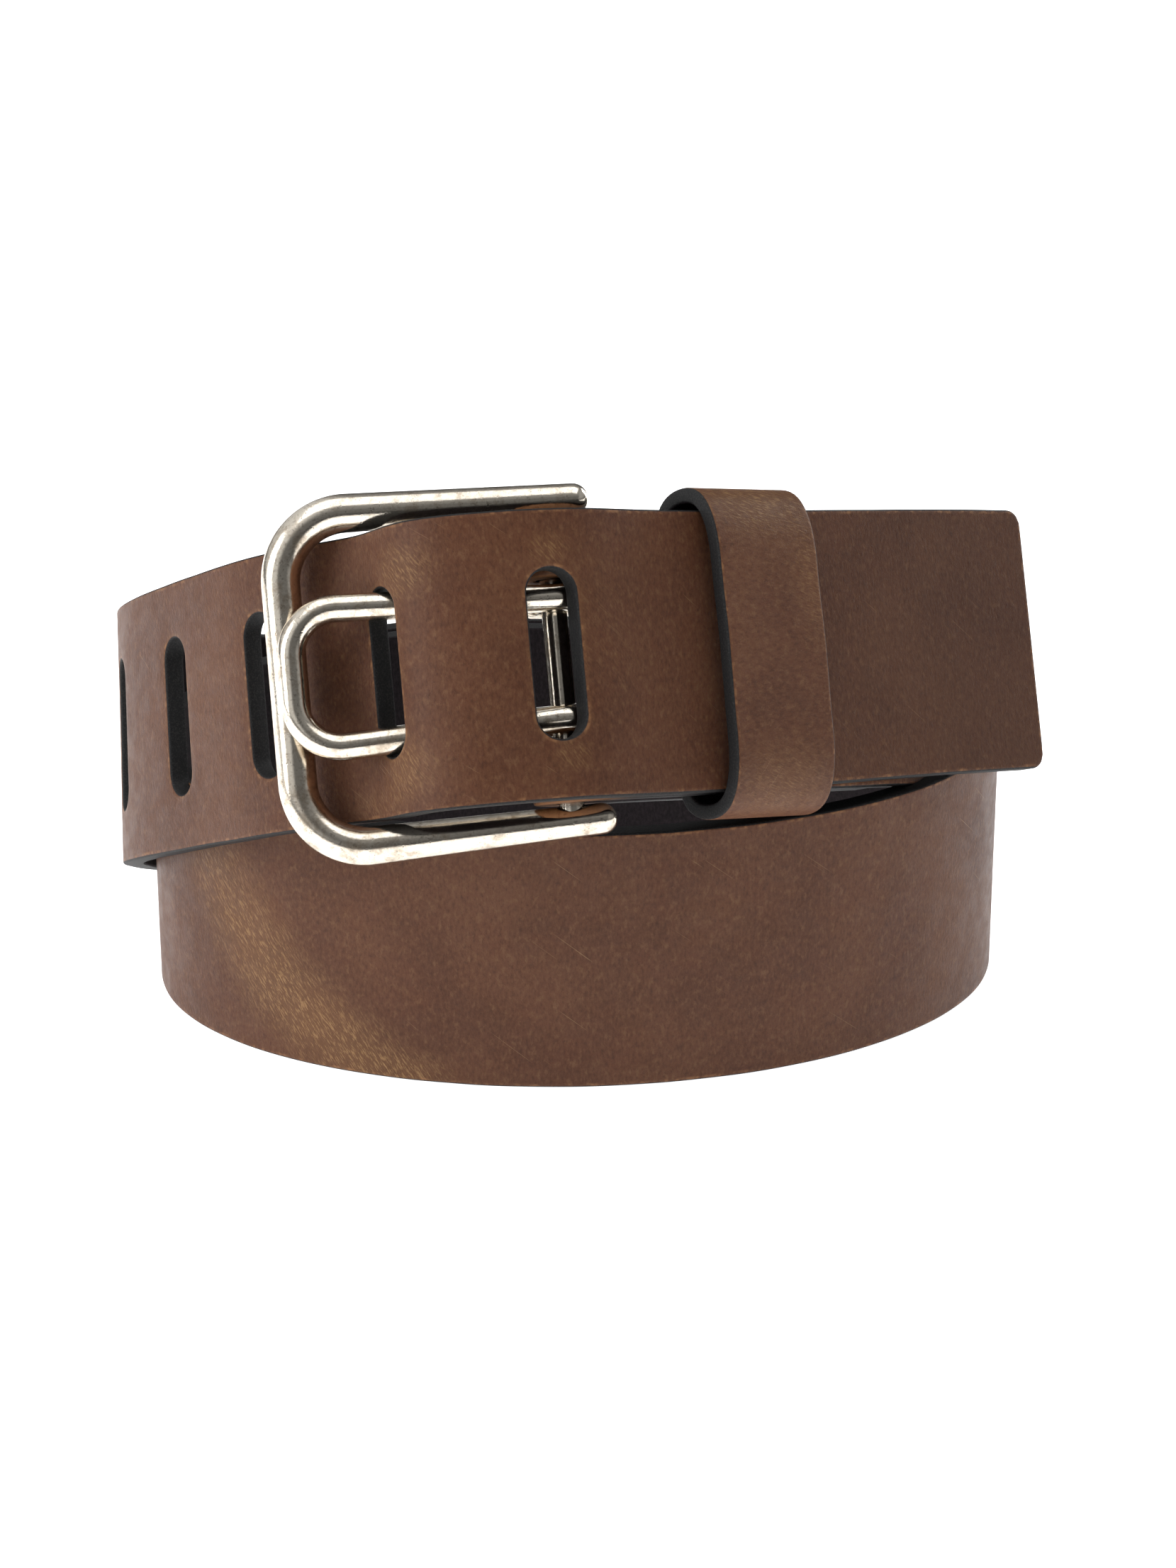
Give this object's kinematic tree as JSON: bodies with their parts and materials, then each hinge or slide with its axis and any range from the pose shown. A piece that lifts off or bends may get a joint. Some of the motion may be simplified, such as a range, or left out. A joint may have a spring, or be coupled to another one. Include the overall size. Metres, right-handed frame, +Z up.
{
  "type": "leather belt",
  "caption": "Plain leather dress belt, coiled on its edge and fastened: a strap with oblong holes, a wire buckle with a double prong, and a leather keeper.",
  "frame": {"origin": "on the surface that the belt stands on, under the middle of its outline in plan", "axes": "+Z up, +Y from the buckle towards the back of the coil, +X from the outer bar of the buckle towards the tip of the strap"},
  "size_m": [0.1459, 0.1233, 0.0904],
  "materials": {
    "strap_leather": "waxed pull-up leather, satin",
    "keeper_leather": "waxed pull-up leather, satin",
    "nickel": "polished nickel plate",
    "plated_steel": "nickel-plated steel"
  },
  "bodies": {
    "strap": {"strap": "strap_leather", "screw_posts": "plated_steel", "screws": "plated_steel"},
    "buckle": {"buckle_frame": "nickel", "centre_bar": "nickel"},
    "prong": {"prong": "nickel"},
    "keeper": {"keeper": "keeper_leather", "keeper_staple": "plated_steel"}
  },
  "joints": [
    {"name": "frame_swing", "type": "hinge", "parent": "strap", "child": "buckle", "pos_m": [-0.0011, -0.0413, 0.0674], "axis": [-0.0911, 0.4011, 0.9115], "range_deg": [-0.8, 2]},
    {"name": "prong_swing", "type": "hinge", "parent": "buckle", "child": "prong", "pos_m": [-0.0011, -0.0413, 0.0674], "axis": [-0.0911, 0.4011, 0.9115], "range_deg": [0, 2]},
    {"name": "keeper_slide", "type": "slide", "parent": "strap", "child": "keeper", "axis": [0.7879, 0.5888, -0.1803], "range_m": [-0.006, 0.001]}
  ]
}
